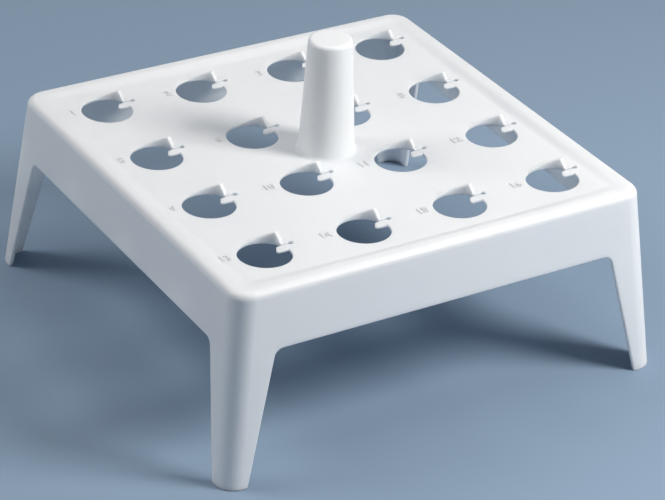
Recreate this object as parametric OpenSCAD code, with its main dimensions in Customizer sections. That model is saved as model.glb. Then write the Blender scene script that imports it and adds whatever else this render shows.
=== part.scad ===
// Microcentrifuge tube rack, moulded in one piece.
// A thin square shell on four corner legs. Its plate is a very shallow dish
// inside a raised rim. It has a grid of holes for tubes, each with a raised guard
// along part of its edge and a small spring tab, and a round post in the middle
// to lift the rack by.
// Millimetres, +Z up. The origin is on the table, under the middle of the post.

/* [Plate] */
// Width of the shell across its flats, just under the rounded top edge
plate_w = 96.2; // [95.2:0.2:102]
// Thickness of the plate
plate_t = 0.6; // [0.6:0.1:1.2]
// Radius of the shell's corners in plan, at the top
corner_r = 4.6; // [4.2:0.1:8]
// Radius of the rounded edge between the rim and the walls
edge_r = 1.8; // [1.5:0.1:2.2]
// Height of the plate's top face above the table, in its middle
plate_h = 39.7; // [34:0.1:50]
// Rise of the plate from its middle to the middle of each side
dish_rise = 0.8; // [0.4:0.1:1]
// Height of the rim above the plate's middle
rim_rise = 1.8; // [1.6:0.1:2.4]
// Run of the slope from the plate up to the rim
rim_run = 2.5; // [2.2:0.1:2.8]

/* [Walls and legs] */
// Thickness of the walls
wall_t = 0.9; // [0.8:0.1:1.4]
// Width across the feet, larger than the plate because the walls lean out
foot_w = 104.2; // [100:0.2:112]
// Radius of the corners in plan, at the feet
foot_r = 4.0; // [3.4:0.1:8]
// Depth of the walls between the legs, from the top of the rim
skirt_d = 13; // [10:0.1:18]
// Width of the opening between two legs, halfway up
arch_mid_w = 83.2; // [76:0.2:84.6]
// Width of the opening between two legs, at the table
arch_foot_w = 93.6; // [86:0.2:94.6]
// Radius of the opening's upper corners
arch_r = 2; // [1:0.2:8]

/* [Tube holes] */
// Holes along each side
rows = 4; // [2:2:4]
// Distance between the holes' centres
pitch = 22.8; // [22:0.1:23.4]
// Diameter of the holes
hole_d = 11.1; // [10.6:0.1:11.6]

/* [Rim guards] */
// Height of a guard at its tall end
guard_h = 2; // [0.8:0.1:2.4]
// Thickness of a guard
guard_t = 1; // [0.7:0.1:1.4]
// Direction in which a guard starts, from +X
guard_from = 28; // [27:1:34]
// How far the end face of a guard leans back at its top
guard_lean = 1.1; // [0.4:0.1:1.6]
// Distance from a guard's start to where it has sloped down to the plate
guard_run = 5.5; // [4.4:0.1:5.5]

/* [Spring tabs] */
// How far a tab's tip stands from the hole's middle
tab_tip = 3; // [2.9:0.1:4]
// Width of a tab
tab_w = 1.9; // [1.6:0.1:2.2]
// Height of a tab's upper side above the hole's middle, along +Y
tab_y = 1.9; // [1.5:0.1:2]
// How much farther out the upper corner of a tab's tip stands
tab_skew = 0.6; // [0.2:0.1:1]
// Slope of a tab down into the hole, in degrees
tab_slope = 4; // [2:1:10]
// Width of the slit beside a tab
slit_w = 0.5; // [0.3:0.05:0.6]
// Diameter of the round relief at the slit's end
relief_d = 1.2; // [0.8:0.1:1.4]

/* [Post] */
// Diameter of the post at the plate
post_d = 12; // [10:0.2:13]
// Diameter of the post at its top
post_top_d = 9.3; // [8:0.1:10]
// Height of the post above the plate
post_h = 25.7; // [15:0.1:40]
// Radius of the post's top edge
post_edge_r = 0.9; // [0.4:0.1:1.6]
// Radius of the fillet around the post's foot
post_foot_r = 1; // [0.5:0.1:1.5]

/* [Hidden] */
$fn = 64;

top_a = plate_w / 2;              // half width under the rounded edge
foot_a = foot_w / 2;              // half width at the table
rim_h = plate_h + rim_rise;       // top of the rim
lean = (foot_a - top_a) / (rim_h - edge_r);
hole_r = hole_d / 2;
side_m = 45;                      // where dish_rise is measured, from the middle
white = [0.90, 0.92, 0.95];

// Half width of the shell's outer face at height z
function half(z) = top_a + (rim_h - edge_r - z) * lean;
// Corner radius of the outer face at height z
function plan_r(z) = corner_r + (foot_r - corner_r) * (rim_h - edge_r - z) / (rim_h - edge_r);
// Height of the plate's top face at distance r from the middle
function top_z(r) = plate_h + dish_rise * r * r / (side_m * side_m);
// Points of an arc about c, from angle a to angle b
function arc(c, r, a, b, n = 8) = [for (i = [0:n]) c + r * [cos(a + (b - a) * i / n), sin(a + (b - a) * i / n)]];
// Middles of the holes
function grid() = [for (i = [0:rows - 1], j = [0:rows - 1]) [(i - (rows - 1) / 2) * pitch, (j - (rows - 1) / 2) * pitch]];

// A square block with leaning sides, round corners and a round top edge.
// It is the shell's outside, or its inside when set in by t and lowered by p.
module block(t, p, z0) {
  e = edge_r - p;
  hull() {
    for (sx = [-1, 1], sy = [-1, 1]) {
      c = top_a - corner_r;
      translate([sx * c, sy * c, rim_h - edge_r])
        rotate_extrude($fn = 32) polygon(concat([[0, 0]], arc([corner_r - t - e, 0], e, 0, 90), [[0, e]]));
      b = half(z0) - plan_r(z0);
      translate([sx * b, sy * b, z0])
        cylinder(r = plan_r(z0) - t, h = 0.01, $fn = 32);
    }
  }
}

// Space over the dished plate, inside the rim, with sloping sides. Lowered by
// the plate's thickness it is what the shell's hollow stops short of.
module pool() {
  a1 = top_a - 3;                 // half width at the top of the rim
  k = rim_run / (rim_h - top_z(side_m - 2));
  r = max(corner_r - 2.6, 1.4);
  n = 12;
  intersection() {
    hull() for (sx = [-1, 1], sy = [-1, 1], e = [[rim_h + 1, 1], [plate_h - 1, -(rim_rise + 1)]]) {
      b = a1 + e[1] * k - r;
      translate([sx * b, sy * b, e[0]]) cylinder(r = r, h = 0.01, $fn = 32);
    }
    rotate_extrude($fn = 96)
      polygon(concat([for (i = [0:n]) [i * 66 / n, top_z(i * 66 / n)]], [[66, rim_h + 3], [0, rim_h + 3]]));
  }
}

// Outline of the opening between two legs, along X and Z, with round upper
// corners that run smoothly into the top edge and the leaning side edges.
module arch_outline() {
  z1 = rim_h - skirt_d;
  w0 = arch_foot_w / 2;
  w1 = arch_mid_w / 2;
  zw = rim_h / 2;                 // height at which arch_mid_w is measured
  k = (w0 - w1) / zw;             // outward run of the side for each mm down
  b = atan(k);
  cz = z1 - arch_r;
  cx = w1 + (zw - cz) * k - arch_r / cos(b);
  side = arc([cx, cz], arch_r, b, 90);
  low = w0 + 5 * k;
  polygon(concat(side, [for (i = [len(side) - 1:-1:0]) [-side[i].x, side[i].y]], [[-low, -5], [low, -5]]));
}

module arch() {
  translate([0, foot_a + 5, 0]) rotate([90, 0, 0]) linear_extrude(2 * foot_a + 10) arch_outline();
}

// A quarter of a solid drum over a hole, with a leaning end face and a sloping
// top: what the bore leaves of it is the guard.
module guard_blank() {
  rotate([0, 0, guard_from]) intersection() {
    translate([0, 0, -plate_t / 2]) cylinder(r = hole_r + guard_t, h = guard_h + plate_t + 2);
    rotate([-atan(guard_lean / guard_h), 0, 0]) translate([0, 0, -5]) cube([15, 15, 20]);
    translate([0, guard_lean, guard_h]) rotate([-atan(guard_h / (guard_run - guard_lean)), 0, 0])
      translate([-20, -20, -10]) cube([40, 40, 10]);
  }
}

// Slit beside the tab, from inside the hole to a round relief in the plate.
module slit() {
  y = tab_y + slit_w / 2;
  translate([hole_r - 2.5, tab_y, -plate_t - 1]) cube([4, slit_w, plate_t + 2]);
  translate([hole_r + 1.5, y, -plate_t - 1]) cylinder(d = relief_d, h = plate_t + 2, $fn = 24);
}

// Tab that slopes down into the hole.
module tab() {
  q = 0.45;                       // radius of the tip's lower corner
  x1 = hole_r + 0.6;
  y0 = tab_y - tab_w;
  drop = (hole_r - tab_tip) * tan(tab_slope);
  difference() {
    translate([0, 0, -3]) linear_extrude(4)
      polygon(concat(arc([tab_tip + tab_skew + 0.3, tab_y - 0.3], 0.3, 90, 150, 4), arc([tab_tip + q, y0 + q + 0.1], q, 150, 262, 8), [[hole_r - 0.6, y0], [x1, y0], [x1, tab_y]]));
    translate([0, 5, 0]) rotate([90, 0, 0]) linear_extrude(10)
      polygon([[tab_tip - 1, -drop - tan(tab_slope)], [hole_r, 0], [x1 + 1, 0], [x1 + 1, 5], [tab_tip - 1, 5]]);
    translate([0, 5, 0]) rotate([90, 0, 0]) linear_extrude(10)
      polygon([[tab_tip - 1, -drop - tan(tab_slope) - plate_t + 0.15], [hole_r, -plate_t], [x1 + 1, -plate_t], [x1 + 1, -5], [tab_tip - 1, -5]]);
  }
}

// Round post with a fillet at its foot and a rounded top edge.
module post() {
  r0 = post_d / 2;
  r1 = post_top_d / 2;
  s = atan((r0 - r1) / post_h);   // lean of its side
  f = post_foot_r;
  e = post_edge_r;
  // centres of the two rounded edges, off the sloping side
  fc = [r0 - f * tan(s) + f / cos(s), f];
  ec = [r1 + e * tan(s) - e / cos(s), post_h - e];
  translate([0, 0, plate_h]) rotate_extrude()
    polygon(concat([[0, -plate_t / 2], [fc.x, -plate_t / 2]], arc(fc, f, 270, 180 + s, 8), arc(ec, e, s, 90, 8), [[0, post_h]]));
}

// Hollow up the middle of the post, open below.
module post_core() {
  h = post_h - 2.2;
  translate([0, 0, plate_h - plate_t - 1]) cylinder(r1 = post_d / 2 - 1.5, r2 = post_top_d / 2 - 1.5, h = h + plate_t + 1);
}

module rack() {
  color(white) {
    difference() {
      union() {
        difference() {
          block(0, 0, 0);
          difference() {
            block(wall_t, plate_t, -1);
            translate([0, 0, -plate_t * 1.03]) pool();
          }
          pool();
          arch();
          rotate([0, 0, 90]) arch();
        }
        post();
        for (c = grid()) translate([c.x, c.y, top_z(norm(c))]) guard_blank();
      }
      post_core();
      for (c = grid()) {
        translate([c.x, c.y, plate_h - 5]) cylinder(r = hole_r, h = 12);
        translate([c.x, c.y, top_z(norm(c))]) slit();
      }
    }
    for (c = grid()) translate([c.x, c.y, top_z(norm(c + [hole_r, 1]))]) tab();
  }
}

rack();
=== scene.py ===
"""Looks of the microcentrifuge tube rack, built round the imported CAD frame.

The rack is one moulded piece, so one finely made mesh stands for its CAD node:
the same shell, legs, holes, guards, tabs and post, with the small rounded edges
that a moulding has. Lengths below are millimetres until the mesh is finished.
"""

import math

import bmesh
import bpy
import numpy as np
from mathutils import Matrix, Vector


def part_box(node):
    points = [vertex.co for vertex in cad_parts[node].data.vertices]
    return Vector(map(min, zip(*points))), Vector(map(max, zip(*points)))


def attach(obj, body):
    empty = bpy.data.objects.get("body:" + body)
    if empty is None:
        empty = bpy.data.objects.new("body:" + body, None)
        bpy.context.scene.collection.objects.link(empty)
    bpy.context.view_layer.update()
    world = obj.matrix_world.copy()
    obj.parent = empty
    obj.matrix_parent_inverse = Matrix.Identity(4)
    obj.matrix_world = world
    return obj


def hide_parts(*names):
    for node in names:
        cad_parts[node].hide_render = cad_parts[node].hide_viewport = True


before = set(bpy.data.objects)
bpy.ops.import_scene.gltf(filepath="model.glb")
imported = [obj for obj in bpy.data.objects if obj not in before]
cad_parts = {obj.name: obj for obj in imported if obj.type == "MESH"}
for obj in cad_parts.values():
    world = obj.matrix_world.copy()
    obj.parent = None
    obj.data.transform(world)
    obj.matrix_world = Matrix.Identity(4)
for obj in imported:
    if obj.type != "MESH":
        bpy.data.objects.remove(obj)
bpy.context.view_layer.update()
scene = bpy.context.scene
node_lo, node_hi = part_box("rack")

# ---------------------------------------------------------------- camera
R = (
    (0.85962, -0.50943, 0.03924),
    (-0.22679, -0.44924, -0.86415),
    (0.45785, 0.73394, -0.50171),
)
cam_data = bpy.data.cameras.new("camera")
cam_data.sensor_fit = "HORIZONTAL"
cam_data.sensor_width = 36.0
cam_data.lens = 36.0 * 2818.22 / 665.0
cam_data.clip_start, cam_data.clip_end = 0.02, 20.0
camera = bpy.data.objects.new("camera", cam_data)
scene.collection.objects.link(camera)
camera.rotation_mode = "QUATERNION"
camera.rotation_quaternion = Matrix(
    (
        (R[0][0], -R[1][0], -R[2][0]),
        (R[0][1], -R[1][1], -R[2][1]),
        (R[0][2], -R[1][2], -R[2][2]),
    )
).to_quaternion()
camera.location = (-0.27534, -0.44577, 0.31885)
scene.camera = camera

# ---------------------------------------------------------------- sizes, as in the part's source
PLATE_W, PLATE_T, CORNER_R, EDGE_R = 96.2, 0.6, 4.6, 1.8
PLATE_H, DISH_RISE, RIM_RISE, RIM_RUN = 39.7, 0.8, 1.8, 2.5
WALL_T, FOOT_W, FOOT_R, SKIRT_D = 0.9, 104.2, 4.0, 13.0
ARCH_MID_W, ARCH_FOOT_W, ARCH_R = 83.2, 93.6, 2.0
PITCH, HOLE_R = 22.8, 5.55
GUARD_H, GUARD_T, GUARD_FROM, GUARD_LEAN, GUARD_RUN = 2.0, 1.0, 28.0, 1.1, 5.5
TAB_TIP, TAB_W, TAB_Y, TAB_SKEW, TAB_SLOPE, SLIT_W, RELIEF_D = 3.0, 1.9, 1.9, 0.6, 4.0, 0.5, 1.2
POST_D, POST_TOP_D, POST_H, POST_EDGE_R, POST_FOOT_R = 12.0, 9.3, 25.7, 0.9, 1.0
TOP_A, FOOT_A = PLATE_W / 2, FOOT_W / 2
RIM_H = PLATE_H + RIM_RISE
LEAN = (FOOT_A - TOP_A) / (RIM_H - EDGE_R)
GRID = [((i - 1.5) * PITCH, (j - 1.5) * PITCH) for j in range(4) for i in range(4)]


def half(z):
    return TOP_A + (RIM_H - EDGE_R - z) * LEAN


def plan_r(z):
    return CORNER_R + (FOOT_R - CORNER_R) * (RIM_H - EDGE_R - z) / (RIM_H - EDGE_R)


def top_z(x, y):
    """Height of the dished plate's top face."""
    return PLATE_H + DISH_RISE * (x * x + y * y) / 2025.0


def arc(cx, cy, r, a, b, n):
    """n + 1 points of an arc, angles in degrees."""
    t = np.radians(np.linspace(a, b, n + 1))
    return np.stack([cx + r * np.cos(t), cy + r * np.sin(t)], 1)


# ---------------------------------------------------------------- mesh tools
def make_object(name, verts, faces):
    me = bpy.data.meshes.new(name)
    me.from_pydata([tuple(float(x) for x in v) for v in verts], [], faces)
    bm = bmesh.new()
    bm.from_mesh(me)
    bmesh.ops.remove_doubles(bm, verts=bm.verts, dist=1e-5)
    bmesh.ops.recalc_face_normals(bm, faces=bm.faces)
    bm.to_mesh(me)
    bm.free()
    ob = bpy.data.objects.new(name, me)
    scene.collection.objects.link(ob)
    return ob


def loft_data(rings, offset=0):
    """A closed solid through equal closed rings: its vertices and faces."""
    n, m = len(rings[0]), len(rings)
    verts = [p for r in rings for p in r]
    faces = [
        (k * n + i, k * n + (i + 1) % n, (k + 1) * n + (i + 1) % n, (k + 1) * n + i)
        for k in range(m - 1)
        for i in range(n)
    ]
    faces.append(tuple(reversed(range(n))))
    faces.append(tuple(range((m - 1) * n, m * n)))
    return verts, [tuple(i + offset for i in f) for f in faces]


def lofts(name, solids):
    """One object made of several closed solids, each a list of rings."""
    verts, faces = [], []
    for rings in solids:
        v, f = loft_data(rings, len(verts))
        verts += v
        faces += f
    return make_object(name, verts, faces)


def cut(target, tool, operation):
    """Boolean of two closed meshes, applied, and the tool removed."""
    mod = target.modifiers.new("cut", "BOOLEAN")
    mod.operation = operation
    mod.solver = "MANIFOLD"
    mod.object = tool
    bpy.context.view_layer.update()
    dg = bpy.context.evaluated_depsgraph_get()
    me = bpy.data.meshes.new_from_object(target.evaluated_get(dg))
    target.modifiers.clear()
    old = target.data
    target.data = me
    bpy.data.meshes.remove(old)
    bpy.data.objects.remove(tool)


def at(ring, z):
    """A plan ring set at height z, where z is a number or one number a point."""
    return np.column_stack([ring, np.broadcast_to(z, len(ring))])


# ---------------------------------------------------------------- shell
def square_ring(a, r, n=14, m=0):
    """Square of half width a with round corners, counterclockwise, and m points along each side."""
    c = a - r
    parts = []
    for k in range(4):
        sx, sy = ((1, 1), (-1, 1), (-1, -1), (1, -1))[k]
        corner = arc(sx * c, sy * c, r, 90 * k, 90 * k + 90, n)
        tx, ty = ((-1, 1), (-1, -1), (1, -1), (1, 1))[k]
        after = ((tx * c, ty * a), (tx * a, ty * c))[k % 2]
        parts += [corner, np.linspace(corner[-1], after, m + 2)[1:-1]]
    return np.vstack(parts)


def shell_block(t, p, z0, foot):
    """Outside of the shell, or its inside where it is set in by t and lowered by p. foot rounds the bottom edge."""
    e = EDGE_R - p
    rings = []
    levels = [z0]
    if foot:
        levels = [z0 + foot * (1 - math.cos(math.radians(a))) for a in (0, 25, 50, 75, 90)]
    for z in levels:
        inset = foot * (1 - math.sqrt(max(0.0, 1 - (1 - (z - z0) / foot) ** 2))) if foot else 0.0
        rings.append(at(square_ring(half(z) - t - inset, plan_r(z) - t - inset), z))
    for z in np.linspace(levels[-1] + 3, RIM_H - EDGE_R - 1.5, 9):
        rings.append(at(square_ring(half(z) - t, plan_r(z) - t), z))
    c = TOP_A - CORNER_R
    for a in np.linspace(0, 90, 11):
        r = CORNER_R - t - e + e * math.cos(math.radians(a))
        rings.append(at(square_ring(c + r, r), RIM_H - EDGE_R + e * math.sin(math.radians(a))))
    return rings


def pool(drop):
    """Space over the dished plate inside the rim, lowered by drop. Its sides curve smoothly into both."""
    a1, r, run, m = TOP_A - 2.65, CORNER_R - 2.6, RIM_RUN + 0.7, 24
    rings = []
    for f in np.linspace(0.05, 1.0, 15):
        a = (a1 - run) * f
        ring = square_ring(a, max(r * f, a * 0.06), m=m)
        rings.append(at(ring, top_z(ring[:, 0], ring[:, 1]) - drop))
    z0 = rings[-1][:, 2] + drop
    for t in np.linspace(0, 1, 13)[1:]:
        s = (1 - math.cos(math.pi * t)) / 2
        rings.append(at(square_ring(a1 - run + run * t, r, m=m), z0 + (RIM_H - z0) * s - drop))
    rings.append(at(square_ring(a1 + 0.25, r + 0.25, m=m), RIM_H + 0.02 - drop))
    rings.append(at(square_ring(a1 + 0.25, r + 0.25, m=m), RIM_H + 3.0))
    return rings


def arch_ring(grow):
    """Outline of the opening between two legs, along X and Z, grown outwards."""
    z1, w0, w1, zw = RIM_H - SKIRT_D, ARCH_FOOT_W / 2, ARCH_MID_W / 2, RIM_H / 2
    k = (w0 - w1) / zw
    b = math.degrees(math.atan(k))
    cz = z1 - ARCH_R
    cx = w1 + (zw - cz) * k - ARCH_R / math.cos(math.radians(b))
    side = arc(cx, cz, ARCH_R + grow, b, 90, 12)
    low = w0 + 5 * k + grow / math.cos(math.radians(b))
    right = [(low - (5 + z) * k, z) for z in (-5, 0.0, 4.0, 9.0, 14.0, 19.0)]
    top = [(x, z1 + grow) for x in np.linspace(cx, -cx, 9)[1:-1]]
    return np.array(
        right + list(side) + top + [(-x, z) for x, z in side[::-1]] + [(-x, z) for x, z in right[::-1]]
    )


def arch_cutter(turn):
    """Cuts one opening through its leaning wall and rounds both of its edges."""
    fo, fi = 0.28, 0.22
    steps = [(-2.0, fo * 1.4 + 0.5)]
    for a in (78, 60, 40, 20, 0):
        s = math.radians(a)
        steps.append((fo * (1 - math.sin(s)), fo * (1 - math.cos(s))))
    for a in (0, 20, 40, 60, 78):
        s = math.radians(a)
        steps.append((WALL_T - fi * (1 - math.sin(s)), fi * (1 - math.cos(s))))
    steps.append((WALL_T + 1.6, fi * 1.4 + 0.5))
    c, s = math.cos(turn), math.sin(turn)
    rings = []
    for depth, grow in steps:
        ring = arch_ring(grow)
        y = -(half(ring[:, 1]) - depth)
        rings.append(
            np.column_stack([ring[:, 0] * c - y * s, ring[:, 0] * s + y * c, ring[:, 1]])
        )
    return rings


# ---------------------------------------------------------------- holes
def hole_ring(grow):
    """Outline of a hole with its slit and round relief, grown outwards."""
    r = HOLE_R + grow
    y1, y2 = TAB_Y - grow, TAB_Y + SLIT_W + grow
    cx, cy, q = HOLE_R + 1.5, TAB_Y + SLIT_W / 2, RELIEF_D / 2 + grow
    a2, a1 = math.degrees(math.asin(y2 / r)), math.degrees(math.asin(y1 / r))
    d = math.degrees(math.asin((SLIT_W / 2 + grow) / q))
    body = arc(0, 0, r, a2, 360 + a1, 110)
    relief = arc(cx, cy, q, -180 + d, 180 - d, 18)
    low = np.linspace(body[-1], relief[0], 5)[1:-1]
    high = np.linspace(relief[-1], body[0], 5)[1:-1]
    return np.vstack([body, low, relief, high])


def hole_cutter(cx, cy):
    """Cuts one hole and rounds its upper and lower rim."""
    f, g = 0.13, 0.1
    steps = [(g * 1.1 + 0.06, -PLATE_T - 0.3)]
    for a in (70, 45, 20, 0):
        s = math.radians(a)
        steps.append((g * (1 - math.cos(s)), -PLATE_T + g * (1 - math.sin(s))))
    for a in (0, 18, 36, 54, 72):
        s = math.radians(a)
        steps.append((f * (1 - math.cos(s)), -f * (1 - math.sin(s))))
    steps.append((f * 1.1 + 0.05, 0.3))
    rings = []
    for grow, dz in steps:
        ring = hole_ring(grow) + (cx, cy)
        rings.append(at(ring, top_z(ring[:, 0], ring[:, 1]) + dz))
    return rings


def guard(cx, cy):
    """Raised guard on part of a rim: leaning end face, sloping top, rounded edges."""
    ri, ro, low = HOLE_R - 0.015, HOLE_R + GUARD_T, -0.4
    base = float(top_z(cx, cy))
    f = 0.2
    slope = GUARD_H / (GUARD_RUN - GUARD_LEAN)

    def top(r, t):
        y = r * math.sin(t)
        end = y * GUARD_H / GUARD_LEAN
        fall = GUARD_H - slope * (y - GUARD_LEAN)
        k = 0.12  # rounds the ridge where the two planes meet
        h = max(k - abs(end - fall), 0.0) / k
        return min(end, fall) - h * h * k * 0.25

    arcs = np.radians(
        np.concatenate([np.arange(-2.0, 15.1, 0.8), np.arange(17.0, 92.0, 2.5)])
    )
    rings = []
    for t in arcs:
        section = [(ri, low)]
        width = ro - ri
        for side in (0, 1):
            angles = np.linspace(0, 90, 5) if side == 0 else np.linspace(90, 0, 5)
            for a in np.radians(angles):
                s = f * (1 - math.cos(a))
                r = ri + s if side == 0 else ro - s
                drop = f * (1 - math.sin(a))
                z = top(r, t)
                section.append((r, max(z - min(drop, max(z, 0.0) * 0.5 + 0.02), low + 0.05)))
        section.insert(6, (ri + width / 2, max(top(ri + width / 2, t), low + 0.05)))
        section.append((ro, low))
        a = t + math.radians(GUARD_FROM)
        rings.append(
            np.array([(cx + r * math.cos(a), cy + r * math.sin(a), base + z) for r, z in section])
        )
    # past its end the guard stays under the plate's top face
    keep = [k for k, ring in enumerate(rings) if ring[:, 2].max() > base - 0.22]
    return rings[max(keep[0] - 1, 0) : keep[-1] + 2]


def tab(cx, cy):
    """Spring tab with rounded edges that slopes down into the hole."""
    q = 0.45
    x1, y0, f = HOLE_R + 0.5, TAB_Y - TAB_W, 0.12
    outline = np.vstack(
        [
            arc(TAB_TIP + TAB_SKEW + 0.3, TAB_Y - 0.3, 0.3, 90, 150, 5),
            arc(TAB_TIP + q, y0 + q + 0.1, q, 150, 262, 10),
            [(HOLE_R - 1.2, y0), (HOLE_R - 0.3, y0), (x1, y0), (x1, TAB_Y), (HOLE_R - 0.5, TAB_Y)],
        ]
    )
    nxt, prv = np.roll(outline, -1, 0), np.roll(outline, 1, 0)
    t1, t0 = nxt - outline, outline - prv
    t1 /= np.linalg.norm(t1, axis=1)[:, None]
    t0 /= np.linalg.norm(t0, axis=1)[:, None]
    inward = np.stack([-(t0 + t1)[:, 1], (t0 + t1)[:, 0]], 1)
    inward /= np.linalg.norm(inward, axis=1)[:, None]
    inward /= np.clip((inward * np.stack([-t1[:, 1], t1[:, 0]], 1)).sum(1), 0.6, 1)[:, None]
    rings = []
    for a, upper in [(90, 0), (60, 0), (30, 0), (0, 0), (0, 1), (30, 1), (60, 1), (90, 1)]:
        s = math.radians(a)
        ring = outline + inward * f * (1 - math.cos(s))
        into = np.clip(HOLE_R - 0.1 - ring[:, 0], 0, None)
        share = into / (HOLE_R - TAB_TIP)
        surface = -0.012 - into * math.tan(math.radians(TAB_SLOPE))
        thick = (PLATE_T - 0.024) - 0.15 * share
        z = surface - f * (1 - math.sin(s)) if upper else surface - thick + f * (1 - math.sin(s))
        rings.append(at(ring + (cx, cy), float(top_z(cx + HOLE_R, cy + 1.0)) + z))
    return rings


# ---------------------------------------------------------------- post
def post_profile():
    r0, r1 = POST_D / 2, POST_TOP_D / 2
    s = math.atan((r0 - r1) / POST_H)
    f, e = POST_FOOT_R, POST_EDGE_R
    fc = (r0 - f * math.tan(s) + f / math.cos(s), f)
    ec = (r1 + e * math.tan(s) - e / math.cos(s), POST_H - e)
    foot = arc(fc[0], fc[1], f, 270, 180 + math.degrees(s), 9)
    edge = arc(ec[0], ec[1], e, math.degrees(s), 90, 10)
    mid = np.linspace(foot[-1], edge[0], 10)[1:-1]
    return np.vstack([[(fc[0], -0.3)], foot, mid, edge])


def turned(profile, n=96, z0=0.0):
    t = np.radians(np.arange(n) * 360.0 / n)
    return [
        np.column_stack([r * np.cos(t), r * np.sin(t), np.full(n, z0 + z)]) for r, z in profile
    ]


def build_rack():
    body = lofts("rack_moulding", [shell_block(0, 0, 0.0, 0.22)])
    inner = shell_block(WALL_T, PLATE_T, -1.0, 0)
    hollow = lofts("tool", [inner])
    cut(hollow, lofts("tool", [pool(PLATE_T + 0.02)]), "DIFFERENCE")
    cut(body, hollow, "DIFFERENCE")
    cut(body, lofts("tool", [pool(0.0)]), "DIFFERENCE")
    cut(body, lofts("tool", [arch_cutter(k * math.pi / 2) for k in range(4)]), "DIFFERENCE")
    cut(body, lofts("tool", [turned(post_profile(), z0=PLATE_H - 0.008)]), "UNION")
    core = [
        (POST_D / 2 - 1.0, PLATE_H - PLATE_T - 1.0),
        (POST_D / 2 - 1.35, PLATE_H - PLATE_T + 0.12),
        (POST_D / 2 - 1.5, PLATE_H - PLATE_T + 0.5),
        (POST_TOP_D / 2 - 1.5, PLATE_H + POST_H - 2.9),
        (POST_TOP_D / 2 - 1.7, PLATE_H + POST_H - 2.4),
        (POST_TOP_D / 2 - 2.2, PLATE_H + POST_H - 2.2),
    ]
    cut(body, lofts("tool", [turned(core, 72)]), "DIFFERENCE")
    cut(body, lofts("tool", [hole_cutter(x, y) for x, y in GRID]), "DIFFERENCE")
    cut(body, lofts("tool", [guard(x, y) for x, y in GRID]), "UNION")
    cut(body, lofts("tool", [tab(x, y) for x, y in GRID]), "UNION")
    return body


def finish_mesh(ob):
    """Cleans the mesh, turns it to metres, and smooths it but for its sharp edges."""
    bm = bmesh.new()
    bm.from_mesh(ob.data)
    bmesh.ops.remove_doubles(bm, verts=bm.verts, dist=2e-4)
    bmesh.ops.dissolve_degenerate(bm, edges=bm.edges, dist=1e-4)
    bmesh.ops.triangulate(bm, faces=[f for f in bm.faces if len(f.verts) > 4])
    bmesh.ops.scale(bm, vec=(0.001, 0.001, 0.001), verts=bm.verts)
    for f in bm.faces:
        f.smooth = True
    bm.to_mesh(ob.data)
    bm.free()
    ob.data.set_sharp_from_angle(angle=math.radians(38))
    mod = ob.modifiers.new("normals", "WEIGHTED_NORMAL")
    mod.weight = 80
    mod.keep_sharp = True
    bpy.context.view_layer.update()
    me = bpy.data.meshes.new_from_object(ob.evaluated_get(bpy.context.evaluated_depsgraph_get()))
    ob.modifiers.clear()
    ob.data = me


# ---------------------------------------------------------------- numbers beside the holes
def build_numbers():
    """Small plain numerals, one to sixteen, raised a sixth of a millimetre."""
    made = []
    for j in range(4):
        for i in range(4):
            cx, cy = (i - 1.5) * PITCH, (1.5 - j) * PITCH
            cu = bpy.data.curves.new("numeral", "FONT")
            cu.body = str(j * 4 + i + 1)
            cu.size = 2.9
            cu.align_x, cu.align_y = "RIGHT", "CENTER"
            cu.extrude = 0.12
            cu.bevel_depth = 0.05
            cu.bevel_resolution = 1
            cu.resolution_u = 4
            cu.space_character = 0.95
            ob = bpy.data.objects.new("numeral", cu)
            scene.collection.objects.link(ob)
            bpy.context.view_layer.update()
            me = bpy.data.meshes.new_from_object(
                ob.evaluated_get(bpy.context.evaluated_depsgraph_get())
            )
            me.transform(Matrix.Translation((cx - 6.6, cy + 1.5, float(top_z(cx - 8.5, cy + 1.5)))))
            bpy.data.objects.remove(ob)
            made.append(me)
    bm = bmesh.new()
    for me in made:
        bm.from_mesh(me)
        bpy.data.meshes.remove(me)
    bmesh.ops.remove_doubles(bm, verts=bm.verts, dist=1e-4)
    me = bpy.data.meshes.new("hole_numbers")
    bm.to_mesh(me)
    bm.free()
    ob = bpy.data.objects.new("hole_numbers", me)
    scene.collection.objects.link(ob)
    return ob


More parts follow.
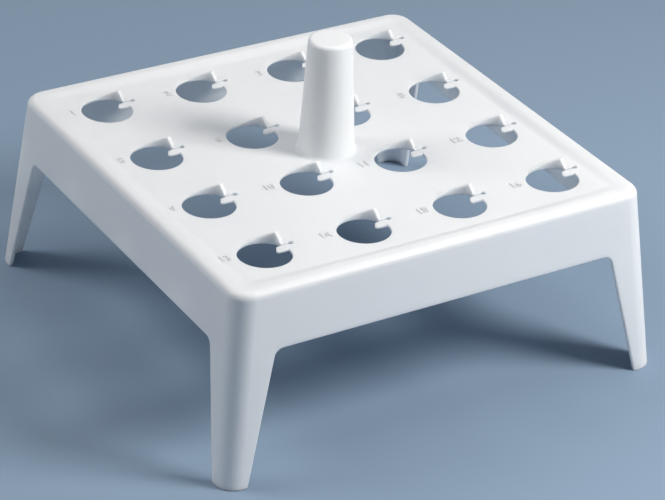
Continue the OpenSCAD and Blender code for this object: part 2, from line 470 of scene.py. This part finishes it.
# ---------------------------------------------------------------- materials
def plastic_material():
    """Satin white polypropylene: a faint cloudy tone, fine moulded grain and slow waves in the surface."""
    mat = bpy.data.materials.new("white_polypropylene")
    mat.use_nodes = True
    nt = mat.node_tree
    nodes, links = nt.nodes, nt.links
    nodes.clear()
    out = nodes.new("ShaderNodeOutputMaterial")
    bsdf = nodes.new("ShaderNodeBsdfPrincipled")
    links.new(bsdf.outputs["BSDF"], out.inputs["Surface"])
    coord = nodes.new("ShaderNodeTexCoord")

    def noise(scale, detail, rough):
        n = nodes.new("ShaderNodeTexNoise")
        n.inputs["Scale"].default_value = scale
        n.inputs["Detail"].default_value = detail
        n.inputs["Roughness"].default_value = rough
        links.new(coord.outputs["Object"], n.inputs["Vector"])
        return n

    cloud = noise(38.0, 3.0, 0.55)
    tone = nodes.new("ShaderNodeValToRGB")
    tone.color_ramp.elements[0].position = 0.32
    tone.color_ramp.elements[0].color = (0.880, 0.900, 0.915, 1)
    tone.color_ramp.elements[1].position = 0.68
    tone.color_ramp.elements[1].color = (0.912, 0.922, 0.930, 1)
    links.new(cloud.outputs["Fac"], tone.inputs["Fac"])
    links.new(tone.outputs["Color"], bsdf.inputs["Base Color"])

    rub = noise(150.0, 4.0, 0.6)
    rough = nodes.new("ShaderNodeMapRange")
    rough.inputs["From Min"].default_value = 0.3
    rough.inputs["From Max"].default_value = 0.7
    rough.inputs["To Min"].default_value = 0.36
    rough.inputs["To Max"].default_value = 0.5
    links.new(rub.outputs["Fac"], rough.inputs["Value"])
    links.new(rough.outputs["Result"], bsdf.inputs["Roughness"])

    grain = noise(2600.0, 2.0, 0.5)
    wave = noise(60.0, 1.0, 0.4)
    b1 = nodes.new("ShaderNodeBump")
    b1.inputs["Strength"].default_value = 0.10
    b1.inputs["Distance"].default_value = 0.00012
    links.new(grain.outputs["Fac"], b1.inputs["Height"])
    b2 = nodes.new("ShaderNodeBump")
    b2.inputs["Strength"].default_value = 0.22
    b2.inputs["Distance"].default_value = 0.0008
    links.new(wave.outputs["Fac"], b2.inputs["Height"])
    links.new(b1.outputs["Normal"], b2.inputs["Normal"])
    links.new(b2.outputs["Normal"], bsdf.inputs["Normal"])
    bsdf.inputs["IOR"].default_value = 1.49
    bsdf.inputs["Specular IOR Level"].default_value = 0.5
    bsdf.inputs["Subsurface Weight"].default_value = 1.0
    bsdf.inputs["Subsurface Radius"].default_value = (1.0, 1.0, 1.0)
    bsdf.inputs["Subsurface Scale"].default_value = 0.0012
    return mat


def floor_material():
    mat = bpy.data.materials.new("pale_floor")
    mat.use_nodes = True
    bsdf = mat.node_tree.nodes["Principled BSDF"]
    bsdf.inputs["Base Color"].default_value = (0.25, 0.34, 0.45, 1)
    bsdf.inputs["Roughness"].default_value = 0.85
    return mat


rack = build_rack()
finish_mesh(rack)
numbers = build_numbers()
finish_mesh(numbers)
plastic = plastic_material()
for piece in (rack, numbers):
    piece.data.materials.clear()
    piece.data.materials.append(plastic)
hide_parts("rack")
for piece in (rack, numbers):
    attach(piece, "root")

# ---------------------------------------------------------------- floor and light
bpy.ops.mesh.primitive_plane_add(size=6.0, location=(0.0, 0.0, node_lo.z - 0.00002))
floor = bpy.context.object
floor.name = "floor"
floor.data.materials.append(floor_material())


def area_light(name, direction, elevation, distance, size, power, colour):
    """A soft panel that faces the rack from a direction in plan and a height in degrees."""
    data = bpy.data.lights.new(name, "AREA")
    data.shape = "DISK"
    data.size, data.energy, data.color = size, power, colour
    ob = bpy.data.objects.new(name, data)
    scene.collection.objects.link(ob)
    d = Vector((direction[0], direction[1], 0)).normalized() * math.cos(math.radians(elevation))
    d.z = math.sin(math.radians(elevation))
    ob.location = d * distance + Vector((0, 0, 0.03))
    ob.rotation_mode = "QUATERNION"
    ob.rotation_quaternion = d.to_track_quat("Z", "Y")


area_light("key", (0.68, -0.73), 40, 0.45, 0.17, 1.73, (1.0, 0.985, 0.96))
area_light("overhead", (0.25, 0.10), 84, 1.1, 0.70, 2.35, (1.0, 0.99, 0.97))
area_light("fill", (-0.80, 0.60), 44, 0.9, 0.45, 3.0, (1.0, 0.99, 0.97))
world = bpy.data.worlds.new("studio")
scene.world = world
world.use_nodes = True
world.node_tree.nodes["Background"].inputs["Color"].default_value = (0.66, 0.75, 0.95, 1)
world.node_tree.nodes["Background"].inputs["Strength"].default_value = 0.11
scene.view_settings.view_transform = "Standard"
